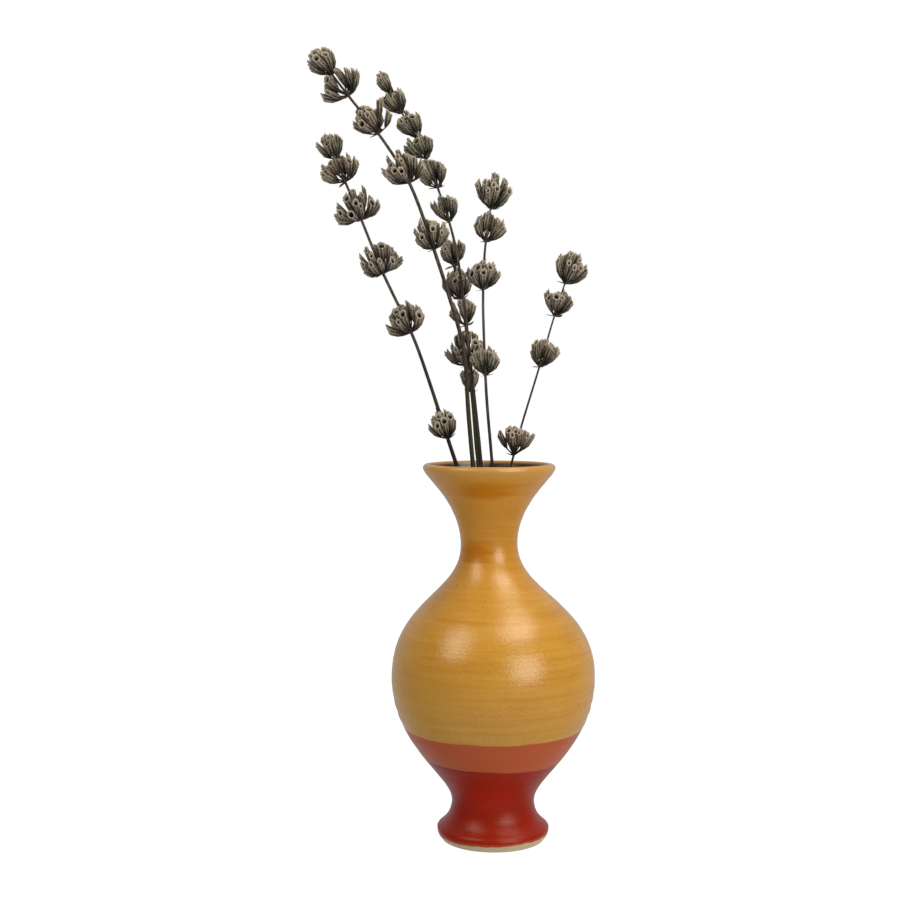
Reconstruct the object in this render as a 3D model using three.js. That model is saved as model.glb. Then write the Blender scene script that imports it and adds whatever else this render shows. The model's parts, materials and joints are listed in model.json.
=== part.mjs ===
// A small thrown ceramic bud vase holding six dried lavender sprigs.
// Millimetres, +Z up, the origin at the middle of the foot, the front of the vase towards -Y.
import * as THREE from "three";

// The vase's outline: each height is above the table, each radius is to the outer face.
const baseRadius = 14.8;
const toeRadius = 17.9;
const toeHeight = 3.8;
const waistRadius = 13.2;
const waistHeight = 12.4;
const bellyRadius = 32.5;
const bellyRise = 40;
const neckRadius = 9.05;
const shoulderRise = 42.2;
const rimRadius = 20.9;
const flareRise = 23.7;
const flareTilt = 0.33; // radians from upright, at the rim
const wallThickness = 2.6;
const floorThickness = 7;
const floorCornerRadius = 3;
const vaseSegments = 44;

// Dried lavender: what all six sprigs share.
const fitGap = 0.3; // between a stem and whatever it rests on or passes through
const stemSides = 8;
const stemSteps = 34;
const straightAboveLip = 5; // a stem stays straight as far as this, so that it lifts out in a line
const whorlSegments = 10;
const whorlFootRadius = 1.1; // added to the stem's own radius at the base of a whorl
const boreShare = 0.35; // how much of a whorl's length closely surrounds the stem
const tipInWhorl = 0.4; // how far up the last whorl the stem ends, as a share of the whorl

// One entry per sprig, from the left. seat: where the stem crosses the neck, in shares of its bore.
// lean: how far the straight lower stem moves in X and Y for each millimetre up. bend: heights above
// the lip, and how far in X the stem has left that straight line there. whorls, from the lowest:
// height above the lip, width and length.
const sprigs = [
  {
    stemWidth: 1.3,
    seat: [-0.5, -0.21],
    lean: [-0.335, 0],
    bend: [[38.5, 0], [49.5, -1.3], [60.5, -2.9], [77.5, -4.1], [89.5, -5.2]],
    whorls: [[8.3, 10.4, 9.1], [41.9, 12.7, 9.2], [60.5, 14, 9.5], [77.3, 14.4, 9.8], [89.1, 12.6, 8],
      [96, 9.5, 7.6]],
  },
  {
    stemWidth: 1.3,
    seat: [-0.62, -0.48],
    lean: [-0.1, -0.1],
    bend: [[21.5, 0.3], [32.5, 0.8], [41.5, 0], [50.5, -1.8], [66.5, -5.4], [86.5, -10.8], [99.5, -17.5],
      [112.5, -26.5]],
    whorls: [[67, 12.3, 9], [87, 12.3, 9.2], [101.6, 9.5, 9.5], [112.8, 13, 9], [119, 9.2, 8.5]],
  },
  {
    stemWidth: 1.1,
    seat: [-0.26, -0.48],
    lean: [-0.09, 0.04],
    bend: [[29.5, -0.4], [51.5, -0.8], [67.5, -1.7], [77.5, -3.3], [87.5, -5.8], [96.5, -8.3],
      [104.5, -11.6], [111.5, -15.2]],
    whorls: [[76.8, 8.3, 8.5], [87.7, 8.6, 9], [96.9, 8.8, 7.5], [103.3, 8, 8.6], [111.1, 7.4, 7.4],
      [117.1, 5.6, 6.2]],
  },
  {
    stemWidth: 1,
    seat: [-0.295, 0.256],
    lean: [-0.115, 0.105],
    bend: [[19.5, 0.5], [31.5, 0.6], [44.5, 1.1], [54.5, 0.3]],
    whorls: [[22.9, 6.4, 5.6], [31.4, 12.2, 12], [44.5, 9, 7.6], [52.9, 9.7, 10], [63.8, 8.8, 7.4]],
  },
  {
    stemWidth: 1.1,
    seat: [0.264, -0.512],
    lean: [-0.085, -0.02],
    bend: [[21.5, 0], [37.5, 0.6], [51.5, 1.4], [63.5, 2.7], [71.5, 4.1], [80.5, 6.2]],
    whorls: [[28.3, 9.4, 8.5], [55, 10.4, 8.8], [70, 9.6, 8.5], [80.2, 11.2, 10.6]],
  },
  {
    stemWidth: 0.86,
    seat: [-0.186, 0.016],
    lean: [0.27, 0],
    bend: [[10.5, -0.1], [30.5, 0.5], [47.5, 0.9], [57.5, 1.4]],
    whorls: [[2.9, 12, 8.2], [31, 9.2, 8.4], [47.1, 9.2, 7.6], [57.3, 10.5, 10.4]],
  },
];

const bellyHeight = waistHeight + bellyRise;
const neckHeight = bellyHeight + shoulderRise;
const rimHeight = neckHeight + flareRise;
const lipHeight = rimHeight + (wallThickness / 2) * (1 + Math.sin(flareTilt));
const neckBore = neckRadius - wallThickness;

const glazed = new THREE.MeshStandardMaterial({ color: "#c8923a", roughness: 0.4, metalness: 0 });
const driedStem = new THREE.MeshStandardMaterial({ color: "#3a3322", roughness: 0.8, metalness: 0 });
const driedFlower = new THREE.MeshStandardMaterial({ color: "#6b6158", roughness: 0.9, metalness: 0 });

// ---- vase ----

// A smooth curve that is upright at both ends, from one height of the outline to the next.
function uprightCurve(from, to, startShare, endShare, steps) {
  const rise = to.y - from.y;
  const startHandle = new THREE.Vector2(from.x, from.y + startShare * rise);
  const endHandle = new THREE.Vector2(to.x, to.y - endShare * rise);
  return new THREE.CubicBezierCurve(from, startHandle, endHandle, to).getPoints(steps);
}

// The outer face above the waist, as points of (radius, height) going up.
function bodyOutline(steps) {
  const waist = new THREE.Vector2(waistRadius, waistHeight);
  const belly = new THREE.Vector2(bellyRadius, bellyHeight);
  const neck = new THREE.Vector2(neckRadius, neckHeight);
  const rim = new THREE.Vector2(rimRadius, rimHeight);
  const flareHandle = new THREE.Vector2(neckRadius, neckHeight + 0.54 * flareRise);
  const rimHandle = new THREE.Vector2(Math.sin(flareTilt), Math.cos(flareTilt))
    .multiplyScalar(-0.12 * flareRise)
    .add(rim);
  const flare = new THREE.CubicBezierCurve(neck, flareHandle, rimHandle, rim);
  return [
    ...uprightCurve(waist, belly, 0.2, 0.546, steps).slice(0, -1),
    ...uprightCurve(belly, neck, 0.563, 0.373, steps).slice(0, -1),
    ...flare.getPoints(Math.round(0.8 * steps)),
  ];
}

function footOutline() {
  const toe = new THREE.Vector2(toeRadius, toeHeight);
  const waist = new THREE.Vector2(waistRadius, waistHeight);
  const underToe = new THREE.CubicBezierCurve(
    new THREE.Vector2(baseRadius, 0),
    new THREE.Vector2(toeRadius - 0.9, 0.2),
    new THREE.Vector2(toeRadius, 0.4 * toeHeight),
    toe,
  );
  return [...underToe.getPoints(4).slice(0, -1), ...uprightCurve(toe, waist, 0.1, 0.7, 6).slice(0, -1)];
}

// The inner face: the body's outline moved in by the wall, going down from the rim to the waist.
function innerOutline(steps) {
  const outer = bodyOutline(steps);
  const inner = outer.map((point, i) => {
    const before = outer[Math.max(i - 1, 0)];
    const after = outer[Math.min(i + 1, outer.length - 1)];
    const along = new THREE.Vector2().subVectors(after, before).normalize();
    return new THREE.Vector2(point.x - wallThickness * along.y, point.y + wallThickness * along.x);
  });
  return inner.reverse();
}

function lipArc(from, to) {
  const centre = new THREE.Vector2().addVectors(from, to).multiplyScalar(0.5);
  const start = Math.atan2(from.y - centre.y, from.x - centre.x);
  const radius = wallThickness / 2;
  return [1, 2, 3, 4].map((i) => {
    const angle = start + (i * Math.PI) / 5;
    return new THREE.Vector2(centre.x + radius * Math.cos(angle), centre.y + radius * Math.sin(angle));
  });
}

function floorOutline() {
  const cavityRadius = waistRadius - wallThickness;
  const corner = new THREE.QuadraticBezierCurve(
    new THREE.Vector2(cavityRadius, floorThickness + floorCornerRadius),
    new THREE.Vector2(cavityRadius, floorThickness),
    new THREE.Vector2(cavityRadius - floorCornerRadius, floorThickness),
  );
  return [...corner.getPoints(3), new THREE.Vector2(0, floorThickness)];
}

function vaseBody() {
  const outer = bodyOutline(9);
  const inner = innerOutline(7);
  const profile = [
    new THREE.Vector2(0, 0),
    ...footOutline(),
    ...outer,
    ...lipArc(outer.at(-1), inner[0]),
    ...inner,
    ...floorOutline(),
  ];
  const geometry = new THREE.LatheGeometry(profile, vaseSegments);
  geometry.rotateX(Math.PI / 2);
  const mesh = new THREE.Mesh(geometry, glazed);
  mesh.name = "vase_body";
  return mesh;
}

// ---- lavender ----

// The radius of the hollow at a height, straight between the points of the inner face.
function cavityRadiusAt(height) {
  const wall = [...innerOutline(7), ...floorOutline().slice(0, -1)];
  const above = wall.findLastIndex((point) => point.y >= height);
  const upper = wall[Math.max(above, 0)];
  const lower = wall[Math.min(above + 1, wall.length - 1)];
  const share = upper.y > lower.y ? (upper.y - height) / (upper.y - lower.y) : 0;
  return upper.x + Math.min(share, 1) * (lower.x - upper.x);
}

// A point of the straight line that a sprig's lower stem follows, at a height above the table.
function onLine(sprig, height) {
  const above = height - neckHeight;
  return new THREE.Vector3(
    sprig.seat[0] * neckBore + sprig.lean[0] * above,
    sprig.seat[1] * neckBore + sprig.lean[1] * above,
    height,
  );
}

// How low the stem reaches: down to the floor, or to where it meets the wall of the belly.
function restHeight(sprig) {
  const clear = sprig.stemWidth / 2 + fitGap;
  let height = neckHeight - 10;
  while (height - clear > floorThickness) {
    const point = onLine(sprig, height - 0.5);
    if (Math.hypot(point.x, point.y) + clear > cavityRadiusAt(height - 0.5 - clear)) break;
    height -= 0.5;
  }
  return height;
}

function stemCurve(sprig) {
  const heights = [restHeight(sprig), neckHeight, lipHeight, lipHeight + straightAboveLip];
  const bends = sprig.bend.map(([height, aside]) => {
    const point = onLine(sprig, lipHeight + height);
    point.x += aside;
    return point;
  });
  const last = sprig.whorls.at(-1);
  const points = [...heights.map((height) => onLine(sprig, height)), ...bends];
  const direction = new THREE.Vector3().subVectors(points.at(-1), points.at(-2)).normalize();
  const tipHeight = lipHeight + last[0] + tipInWhorl * last[2] * direction.z;
  const beyond = (tipHeight - points.at(-1).z) / direction.z;
  points.push(points.at(-1).clone().addScaledVector(direction, beyond));
  return new THREE.CatmullRomCurve3(points);
}

function atHeight(curve, height) {
  let low = 0;
  let high = 1;
  for (let i = 0; i < 24; i++) {
    const middle = (low + high) / 2;
    if (curve.getPoint(middle).z < height) low = middle;
    else high = middle;
  }
  return (low + high) / 2;
}

function stemMesh(sprig, curve, name) {
  const section = new THREE.Shape(
    Array.from({ length: stemSides }, (_, i) => {
      const angle = (2 * Math.PI * i) / stemSides;
      return new THREE.Vector2(Math.cos(angle), Math.sin(angle)).multiplyScalar(sprig.stemWidth / 2);
    }),
  );
  const geometry = new THREE.ExtrudeGeometry(section, { steps: stemSteps, extrudePath: curve });
  const mesh = new THREE.Mesh(geometry, driedStem);
  mesh.name = name;
  return mesh;
}

// A ring of upright flower cups as one bowl round the stem, open at the top. The last one on a stem
// is closed over the stem's end.
function whorlMesh(sprig, curve, whorl, isLast, name) {
  const [height, width, length] = whorl;
  const radius = width / 2;
  const bore = sprig.stemWidth / 2 + fitGap;
  const foot = sprig.stemWidth / 2 + whorlFootRadius;
  const outside = [
    [foot, 0],
    [0.72 * radius, 0.3 * length],
    [radius, 0.72 * length],
    [0.86 * radius, length],
  ];
  const inside = isLast
    ? [[0, length], [0, tipInWhorl * length + fitGap], [bore, tipInWhorl * length + fitGap]]
    : [[0.6 * radius, 0.95 * length], [bore, boreShare * length]];
  const profile = [...outside, ...inside].map(([x, y]) => new THREE.Vector2(x, y));
  profile.unshift(new THREE.Vector2(bore, 0));
  profile.push(new THREE.Vector2(bore, 0));
  const geometry = new THREE.LatheGeometry(profile, whorlSegments);
  geometry.rotateX(Math.PI / 2);
  const mesh = new THREE.Mesh(geometry, driedFlower);
  const base = curve.getPoint(atHeight(curve, lipHeight + height));
  const boreTop = curve.getPoint(atHeight(curve, lipHeight + height + boreShare * length));
  const along = new THREE.Vector3().subVectors(boreTop, base).normalize();
  mesh.position.copy(base);
  mesh.quaternion.setFromUnitVectors(new THREE.Vector3(0, 0, 1), along);
  mesh.name = name;
  return mesh;
}

function lavender(sprig, index) {
  const group = new THREE.Group();
  const curve = stemCurve(sprig);
  const name = `sprig_${index + 1}`;
  group.add(stemMesh(sprig, curve, `${name}_stem`));
  sprig.whorls.forEach((whorl, i) => {
    const isLast = i === sprig.whorls.length - 1;
    group.add(whorlMesh(sprig, curve, whorl, isLast, `${name}_whorl_${i + 1}`));
  });
  return group;
}

const vase = new THREE.Group();
vase.add(vaseBody());
sprigs.forEach((sprig, index) => vase.add(lavender(sprig, index)));

export default vase;
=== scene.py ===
# Thrown bud vase in three glaze bands, holding six sprigs of dried lavender
import json
import math
import random
from functools import partial

import bmesh
import bpy
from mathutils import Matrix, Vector

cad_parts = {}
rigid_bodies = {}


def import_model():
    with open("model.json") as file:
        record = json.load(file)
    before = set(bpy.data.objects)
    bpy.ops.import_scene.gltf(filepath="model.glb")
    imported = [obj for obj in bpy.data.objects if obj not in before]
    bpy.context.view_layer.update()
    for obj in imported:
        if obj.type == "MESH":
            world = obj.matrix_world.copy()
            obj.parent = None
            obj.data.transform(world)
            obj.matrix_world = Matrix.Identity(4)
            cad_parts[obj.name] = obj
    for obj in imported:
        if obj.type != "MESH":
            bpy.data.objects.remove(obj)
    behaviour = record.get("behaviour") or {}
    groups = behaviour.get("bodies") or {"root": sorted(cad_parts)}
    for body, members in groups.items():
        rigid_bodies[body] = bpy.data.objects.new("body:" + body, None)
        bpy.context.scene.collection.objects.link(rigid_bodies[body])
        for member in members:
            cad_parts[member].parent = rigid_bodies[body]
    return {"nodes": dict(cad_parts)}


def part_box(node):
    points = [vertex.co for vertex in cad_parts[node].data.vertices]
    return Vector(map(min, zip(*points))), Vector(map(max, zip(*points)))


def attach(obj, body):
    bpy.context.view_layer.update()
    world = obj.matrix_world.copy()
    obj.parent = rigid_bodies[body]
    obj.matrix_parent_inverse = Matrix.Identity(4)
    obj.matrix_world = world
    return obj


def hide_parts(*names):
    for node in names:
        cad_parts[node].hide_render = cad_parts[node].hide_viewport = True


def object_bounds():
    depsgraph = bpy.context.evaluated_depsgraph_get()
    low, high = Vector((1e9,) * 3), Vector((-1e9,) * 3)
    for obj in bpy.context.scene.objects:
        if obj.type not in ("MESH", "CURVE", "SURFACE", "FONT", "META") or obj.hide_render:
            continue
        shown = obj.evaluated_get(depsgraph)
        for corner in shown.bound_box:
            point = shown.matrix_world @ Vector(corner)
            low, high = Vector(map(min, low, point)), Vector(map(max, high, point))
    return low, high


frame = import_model()
cadLow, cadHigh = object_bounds()
mm = 0.001


def hexLinear(code):
    # sRGB hex to the linear colour that Blender's sockets expect
    parts = [int(code[i:i + 2], 16) / 255 for i in (1, 3, 5)]
    linear = [p / 12.92 if p <= 0.04045 else ((p + 0.055) / 1.055) ** 2.4 for p in parts]
    return (*linear, 1.0)


def feed(node, inputs):
    # fills inputs, by name or number, with values, hex colours, sockets or whole nodes
    for key, value in inputs.items():
        if isinstance(key, int):
            socket = node.inputs[key]
        else:
            socket = next(s for s in node.inputs if s.enabled and s.name == key)
        if isinstance(value, bpy.types.Node):
            value = next(s for s in value.outputs if s.enabled)
        if isinstance(value, bpy.types.NodeSocket):
            node.id_data.links.new(value, socket)
        elif isinstance(value, str) and value.startswith("#"):
            socket.default_value = hexLinear(value)
        else:
            socket.default_value = value


def addNode(tree, kind, inputs=None, **settings):
    # adds a node with its settings and links
    node = tree.nodes.new(kind)
    node.location = (190 * len(tree.nodes), 0)
    for name, value in settings.items():
        setattr(node, name, value)
    feed(node, inputs or {})
    return node


def newTree(name, sizes):
    # a Geometry Nodes tree whose named inputs are the sizes in the dictionary
    kinds = {float: "NodeSocketFloat", int: "NodeSocketInt"}
    tree = bpy.data.node_groups.new(name, "GeometryNodeTree")
    for way in ("OUTPUT", "INPUT"):
        tree.interface.new_socket("Geometry", in_out=way, socket_type="NodeSocketGeometry")
    for label, value in sizes.items():
        kind = kinds.get(type(value), value)
        socket = tree.interface.new_socket(label, in_out="INPUT", socket_type=kind)
        if type(value) in kinds:
            socket.default_value = value
    add = partial(addNode, tree)
    return tree, add, add("NodeGroupInput").outputs


def endTree(add, geometry, material):
    geometry = add("GeometryNodeRealizeInstances", {"Geometry": geometry})
    geometry = add("GeometryNodeSetMaterial", {"Geometry": geometry, "Material": material})
    add("NodeGroupOutput", {0: geometry})


def runTree(tree, piece, values):
    # runs the tree on the piece, keeps the result as its plain mesh and drops the modifier
    modifier = piece.modifiers.new(tree.name, "NODES")
    modifier.node_group = tree
    for item in tree.interface.items_tree:
        if item.in_out == "INPUT" and item.name in values:
            modifier[item.identifier] = values[item.name]
    ready = piece.evaluated_get(bpy.context.evaluated_depsgraph_get())
    made = bpy.data.meshes.new_from_object(ready)
    made.name = piece.name
    piece.modifiers.remove(modifier)
    piece.data = made
    return piece


def addPiece(name, points, edges=(), faces=()):
    mesh = bpy.data.meshes.new(name)
    mesh.from_pydata([tuple(p) for p in points], list(edges), list(faces))
    piece = bpy.data.objects.new(name, mesh)
    bpy.context.scene.collection.objects.link(piece)
    return piece


def newMaterial(name):
    material = bpy.data.materials.new(name)
    material.use_nodes = True
    tree = material.node_tree
    return material, partial(addNode, tree), tree.nodes["Principled BSDF"]


def colourRamp(ramp, places, codes):
    for place, code in zip(places, codes):
        ramp.elements.new(place).color = hexLinear(code)
    ramp.elements.remove(ramp.elements[0])
    ramp.elements.remove(ramp.elements[-1])


studio = {
    "cameraPlace": (-13.8 * mm, -456.3 * mm, 145.7 * mm),
    "cameraPitch": 2.64,          # degrees below level
    "lens": 57.42,
    "paper": "#5a5a5a",           # dim, since the card's glow makes its white
    "floorRadius": 6.0,           # metres
    "paperGlow": 1.0,             # the card is lit evenly from below
    "backdrop": 1.0,              # what the camera sees behind the vase
    "roomFront": 0.26,            # the room is dim on the camera's side
    "roomBack": 0.5,              # and brighter behind the vase
    "roomLeft": 0.6,              # share of that light on the left, away from the window
    "tableBounce": 0.8,           # light that the white table sends up
    "mirrorFront": 0.05,          # what the glaze mirrors of the room
    "mirrorBack": 0.5,            # pales the edges of the vase
    "aimHeight": 0.25,            # share of the object's height that the lamps point at
    "lampAway": 0.9,              # metres
    "lampColour": "#fff4e4",
}
# turn and rise in degrees seen from the vase, 0 being the camera's side; the rest in metres and watts
lamps = {
    "keyLeft": {"turn": -56, "rise": 43, "size": (0.42, 0.6), "watts": 2.4},
    "fillRight": {"turn": 37.5, "rise": 18, "size": (0.58, 0.54), "watts": 3.5},
    "topRight": {"turn": 56, "rise": 62, "size": (0.66, 0.36), "watts": 3.1},
}


def buildStudio():
    scene = bpy.context.scene
    scene.view_settings.view_transform = "Standard"
    camera = bpy.data.objects.new("camera", bpy.data.cameras.new("camera"))
    camera.location = studio["cameraPlace"]
    camera.rotation_euler = (math.radians(90 - studio["cameraPitch"]), 0, 0)
    camera.data.lens = studio["lens"]
    camera.data.clip_start = 0.01
    scene.collection.objects.link(camera)
    scene.camera = camera

    world = bpy.data.worlds.new("whiteRoom")
    world.use_nodes = True
    scene.world = world
    add = partial(addNode, world.node_tree)
    way = add("ShaderNodeTexCoord").outputs["Generated"]
    toRight, toBack, toTop = add("ShaderNodeSeparateXYZ", {0: way}).outputs
    room = add("ShaderNodeMapRange", {"Value": toBack, "From Min": -0.5, "From Max": 0.8,
        "To Min": studio["roomFront"], "To Max": studio["roomBack"]}, interpolation_type="SMOOTHSTEP")
    bounce = add("ShaderNodeMapRange", {"Value": toTop, "From Min": 0.1, "From Max": -0.7,
        "To Max": studio["tableBounce"]})
    room = add("ShaderNodeMath", {0: room, 1: bounce}, operation="ADD")
    flank = add("ShaderNodeMapRange", {"Value": toRight, "From Min": -0.9, "From Max": 0.5,
        "To Min": studio["roomLeft"]})
    room = add("ShaderNodeMath", {0: room, 1: flank}, operation="MULTIPLY")
    mirror = add("ShaderNodeMapRange", {"Value": toBack, "From Min": 0.0, "From Max": 0.9,
        "To Min": studio["mirrorFront"], "To Max": studio["mirrorBack"]}, interpolation_type="SMOOTHSTEP")
    ray = add("ShaderNodeLightPath").outputs
    room = add("ShaderNodeMix", {0: ray["Is Glossy Ray"], 2: room, 3: mirror})
    strength = add("ShaderNodeMix", {0: ray["Is Camera Ray"], 2: room, 3: studio["backdrop"]})
    feed(world.node_tree.nodes["Background"], {"Color": "#ffffff", "Strength": strength})

    aim = Vector((0, 0, cadHigh.z * studio["aimHeight"]))
    for name, lamp in lamps.items():
        turn, rise = math.radians(lamp["turn"]), math.radians(lamp["rise"])
        way = Vector((math.sin(turn) * math.cos(rise), -math.cos(turn) * math.cos(rise), math.sin(rise)))
        light = bpy.data.lights.new(name, "AREA")
        light.shape = "ELLIPSE"
        light.size, light.size_y = lamp["size"]
        light.energy = lamp["watts"]
        light.color = hexLinear(studio["lampColour"])[:3]
        holder = bpy.data.objects.new(name, light)
        holder.location = aim + way * studio["lampAway"]
        holder.rotation_euler = way.to_track_quat("Z", "Y").to_euler()
        scene.collection.objects.link(holder)

    # white card that the vase stands on
    turns = 64
    rim = [(math.cos(2 * math.pi * i / turns), math.sin(2 * math.pi * i / turns)) for i in range(turns)]
    wide, level = studio["floorRadius"], cadLow.z - 0.1 * mm
    floor = addPiece("paperFloor", [(x * wide, y * wide, level) for x, y in rim], faces=[range(turns)])
    material, add, shader = newMaterial("mattPaper")
    feed(shader, {"Base Color": studio["paper"], "Roughness": 0.95, "Specular IOR Level": 0.1,
        "Emission Color": "#ffffff", "Emission Strength": studio["paperGlow"]})
    floor.data.materials.append(material)
    floor.visible_diffuse = False     # the card is seen, and doesn't wash out the foot
    floor.visible_glossy = False


buildStudio()
print("studio ready")


vase = {
    "segments": 185,              # points round the axis, the first and last meeting
    "rows": 471,                  # points along the outline, outside and inside together
    "ringHeight": 0.1,            # throwing rings, mm
    "ringSpacing": 3.6,
    "ringMiddle": 42.6,
    "ringBand": 5.2,
    "rippleHeight": 0.22,         # uneven finger marks all the way up, mm
    "rippleSpacing": 4.5,
    "tilt": 0.02,                 # how far the rings climb to the right, mm per mm
    "lean": 1.35,                 # the neck and rim sit this far to the left, mm
    "leanFrom": 58.0,
    "leanTo": 98.0,
}
glaze = {
    "yellowFrom": 36.7,           # mm above the table
    "redTo": 26.6,
    "clayTo": 2.2,
    "honey": ("#c08522", "#cb9433", "#d5a142"),
    "amber": ("#c6974e", "#c68426"),   # the lower belly and the neck
    "pool": "#bb7100",
    # paler lip: thin glaze and a painted reflection of the room above
    "lip": "#cda362",
    # painted shade inside the mouth
    "inside": "#3a290f",
    "coral": ("#b25029", "#bb5c33"),
    "red": ("#971c03", "#a02506"),
    "redPool": "#ab1e00",
    "edgeLine": "#5e1e10",
    "footLine": "#c44d1a",
    "clay": ("#b59f80", "#cfbd9d"),
    "speckAndPinholeShade": "#4a2c10",
    "ior": 1.64,                  # a bright, hard glass
    "streak": (33.33, 33.33, 1.333),   # sizes of the patterns in mm: a third of the way round, thin
    "turning": (20.0, 20.0, 0.7143),
    "wobble": 11.11,              # of the edge of each dip
    "ragged": 2.0,                # of the wiped edge at the foot
    "cloud": 16.67,
    "mottle": 0.7143,
    "grain": 0.4348,
    "sand": 0.625,
}


def outlineOf(node):
    # walks the CAD vase's cut at y = 0, x >= 0, from the middle of the foot to the middle of the well
    work = bmesh.new()
    work.from_mesh(frame["nodes"][node].data)
    bmesh.ops.remove_doubles(work, verts=work.verts, dist=1e-3 * mm)
    near = 2e-3 * mm
    inPlane = {v for v in work.verts if abs(v.co.y) < near and v.co.x > -near}
    here = min((v for v in inPlane if v.co.x < near), key=lambda v: v.co.z)
    walked, seen = [], set()
    while here is not None:
        seen.add(here)
        walked.append(Vector((max(0.0, here.co.x), 0, here.co.z)))
        onward = [e.other_vert(here) for e in here.link_edges]
        onward = [v for v in onward if v in inPlane and v not in seen]
        here = min(onward, key=lambda v: (v.co - here.co).length) if onward else None
    work.free()
    return walked


def thrownVaseTree():
    tree, add, given = newTree("thrownVase", {**vase, "lipAt": 0.5, "glaze": "NodeSocketMaterial"})
    line = add("GeometryNodeMeshToCurve", {"Mesh": given["Geometry"]})
    line = add("GeometryNodeCurveSplineType", {"Curve": line}, spline_type="CATMULL_ROM")
    line = add("GeometryNodeSetSplineResolution", {"Geometry": line, "Resolution": 6})
    grid = add("GeometryNodeMeshGrid", {"Size X": 1.0, "Size Y": 1.0, "Vertices X": given["segments"],
        "Vertices Y": given["rows"]})
    place = add("ShaderNodeSeparateXYZ", {0: add("GeometryNodeInputPosition")}).outputs
    along = add("ShaderNodeMath", {0: place["Y"], 1: 0.5}, operation="ADD")
    angle = add("ShaderNodeMath", {0: place["X"], 1: 2 * math.pi}, operation="MULTIPLY")
    across = add("ShaderNodeMath", {0: angle}, operation="COSINE")
    deep = add("ShaderNodeMath", {0: angle}, operation="SINE")
    spot = add("GeometryNodeSampleCurve", {"Curves": line, "Factor": along}, use_all_curves=True)
    spot = add("ShaderNodeSeparateXYZ", {0: spot.outputs["Position"]}).outputs
    # millimetres from here on: radius, height, and the place on the undisturbed wall
    radius = add("ShaderNodeMath", {0: spot["X"], 1: 1 / mm}, operation="MULTIPLY")
    height = add("ShaderNodeMath", {0: spot["Z"], 1: 1 / mm}, operation="MULTIPLY")
    height = add("ShaderNodeMath", {0: height, 1: 0.0}, operation="MAXIMUM")
    x = add("ShaderNodeMath", {0: radius, 1: across}, operation="MULTIPLY")
    y = add("ShaderNodeMath", {0: radius, 1: deep}, operation="MULTIPLY")
    climb = add("ShaderNodeMath", {0: x, 1: given["tilt"]}, operation="MULTIPLY")
    level = add("ShaderNodeMath", {0: height, 1: climb}, operation="SUBTRACT")
    # each ring wanders a little as the hand lifts
    slow = add("ShaderNodeCombineXYZ", {"X": x, "Y": y, "Z": level})
    wander = add("ShaderNodeTexNoise", {"Vector": slow, "Scale": 0.035, "Detail": 1.0})
    phase = add("ShaderNodeMath", {0: level, 1: given["ringSpacing"]}, operation="DIVIDE")
    phase = add("ShaderNodeMath", {0: wander, 1: 1.6, 2: phase}, operation="MULTIPLY_ADD")
    phase = add("ShaderNodeMath", {0: phase, 1: 2 * math.pi}, operation="MULTIPLY")
    wave = add("ShaderNodeMath", {0: phase}, operation="SINE")
    off = add("ShaderNodeMath", {0: level, 1: given["ringMiddle"]}, operation="SUBTRACT")
    off = add("ShaderNodeMath", {0: off, 1: given["ringBand"]}, operation="DIVIDE")
    off = add("ShaderNodeMath", {0: off, 1: off}, operation="MULTIPLY")
    off = add("ShaderNodeMath", {0: off, 1: -1.0}, operation="MULTIPLY")
    burst = add("ShaderNodeMath", {0: off}, operation="EXPONENT")
    ring = add("ShaderNodeMath", {0: wave, 1: burst}, operation="MULTIPLY")
    ring = add("ShaderNodeMath", {0: ring, 1: given["ringHeight"]}, operation="MULTIPLY")
    # long low ripples, stretched round the pot
    squeeze = add("ShaderNodeVectorMath", {0: slow, 1: (0.14, 0.14, 1.0)}, operation="MULTIPLY")
    often = add("ShaderNodeMath", {0: 1.0, 1: given["rippleSpacing"]}, operation="DIVIDE")
    ripple = add("ShaderNodeTexNoise", {"Vector": squeeze, "Scale": often, "Detail": 1.0})
    ripple = add("ShaderNodeMath", {0: ripple, 1: 0.5}, operation="SUBTRACT")
    push = add("ShaderNodeMath", {0: ripple, 1: given["rippleHeight"], 2: ring}, operation="MULTIPLY_ADD")
    # nothing moves at the foot ring or near the axis
    clear = add("ShaderNodeMapRange", {"Value": height, "From Min": 0.6, "From Max": 4.0})
    wide = add("ShaderNodeMapRange", {"Value": radius, "From Min": 3.0, "From Max": 7.0})
    push = add("ShaderNodeMath", {0: push, 1: clear}, operation="MULTIPLY")
    radius = add("ShaderNodeMath", {0: push, 1: wide, 2: radius}, operation="MULTIPLY_ADD")
    shift = add("ShaderNodeMapRange", {"Value": height, "From Min": given["leanFrom"],
        "From Max": given["leanTo"], "To Min": 0.0, "To Max": given["lean"]},
        interpolation_type="SMOOTHSTEP")
    x = add("ShaderNodeMath", {0: radius, 1: across}, operation="MULTIPLY")
    x = add("ShaderNodeMath", {0: x, 1: shift}, operation="SUBTRACT")
    y = add("ShaderNodeMath", {0: radius, 1: deep}, operation="MULTIPLY")
    there = add("ShaderNodeCombineXYZ", {"X": x, "Y": y, "Z": height})
    there = add("ShaderNodeVectorMath", {0: there, "Scale": mm}, operation="SCALE")
    # past the top of the lip the outline runs down the inside
    within = add("ShaderNodeMath", {0: along, 1: given["lipAt"]}, operation="GREATER_THAN")
    wall = add("GeometryNodeStoreNamedAttribute", {"Geometry": grid, "Name": "inside", "Value": within},
        domain="POINT")
    wall = add("GeometryNodeSetPosition", {"Geometry": wall, "Position": there})
    wall = add("GeometryNodeMergeByDistance", {"Geometry": wall, "Distance": 5e-3 * mm})
    wall = add("GeometryNodeSetShadeSmooth", {"Geometry": wall})
    endTree(add, wall, given["glaze"])
    return tree


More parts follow.
